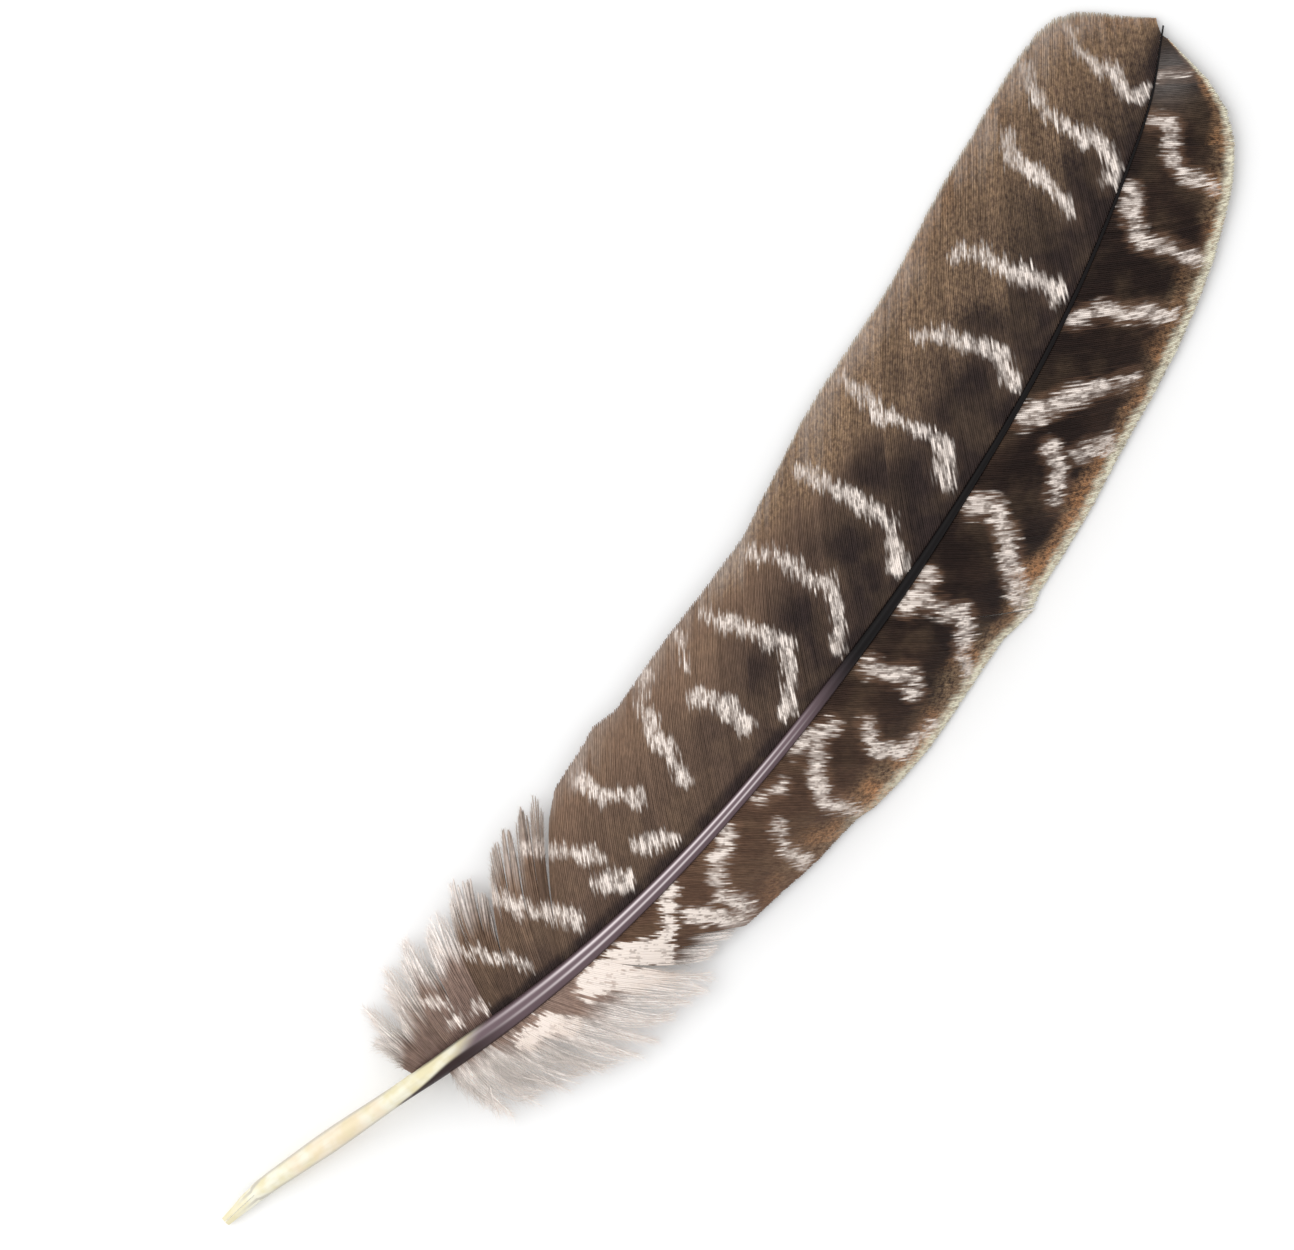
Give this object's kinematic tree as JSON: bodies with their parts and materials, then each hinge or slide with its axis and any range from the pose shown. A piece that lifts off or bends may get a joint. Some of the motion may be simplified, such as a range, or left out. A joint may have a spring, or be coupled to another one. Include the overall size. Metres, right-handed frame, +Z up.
{
  "type": "quill pen",
  "caption": "Feather quill pen: a hollow horn barrel cut to a slit nib, an arched shaft and two barred vanes of barbs with soft down at their base.",
  "frame": {"origin": "middle of the bounding box, on the table surface that the quill lies on", "axes": "+X from the nib to the feather's tip, +Y to the wide vane, +Z up from the table"},
  "size_m": [0.3294, 0.0772, 0.0191],
  "materials": {
    "barrel_horn": "clear ivory horn, satin",
    "shaft_horn": "horn, glossy near-black, grey-violet and ivory near the barrel",
    "pith": "dry white foam-like pith",
    "membrane": "thin dried membrane",
    "wide_barbs": "brown barbs with white bars and mottled margin",
    "narrow_barbs": "dark brown barbs with white bars and a pale rusty margin",
    "down": "soft grey-beige down"
  },
  "bodies": {
    "root": {"calamus_barrel": "barrel_horn", "rachis_shell": "shaft_horn", "rachis_pith": "pith", "pulp_cap_1": "membrane", "pulp_cap_2": "membrane", "pulp_cap_3": "membrane", "pulp_cap_4": "membrane", "pulp_cap_5": "membrane", "wide_down_1": "down", "wide_down_2": "down", "wide_down_3": "down", "wide_down_4": "down", "narrow_down_1": "down", "narrow_down_2": "down", "narrow_down_3": "down", "narrow_down_4": "down", "narrow_down_5": "down", "narrow_down_6": "down", "wide_tuft_1": "wide_barbs", "wide_tuft_2": "wide_barbs", "wide_tuft_3": "wide_barbs", "wide_tuft_4": "wide_barbs", "wide_web_01": "wide_barbs", "wide_web_02": "wide_barbs", "wide_web_03": "wide_barbs", "wide_web_04": "wide_barbs", "wide_web_05": "wide_barbs", "wide_web_06": "wide_barbs", "wide_web_07": "wide_barbs", "wide_web_08": "wide_barbs", "wide_web_09": "wide_barbs", "wide_web_10": "wide_barbs", "narrow_web_01": "narrow_barbs", "narrow_web_02": "narrow_barbs", "narrow_web_03": "narrow_barbs", "narrow_web_04": "narrow_barbs", "narrow_web_05": "narrow_barbs", "narrow_web_06": "narrow_barbs", "narrow_web_07": "narrow_barbs", "narrow_web_08": "narrow_barbs", "narrow_web_09": "narrow_barbs", "narrow_web_10": "narrow_barbs", "narrow_web_11": "narrow_barbs"}
  },
  "joints": []
}
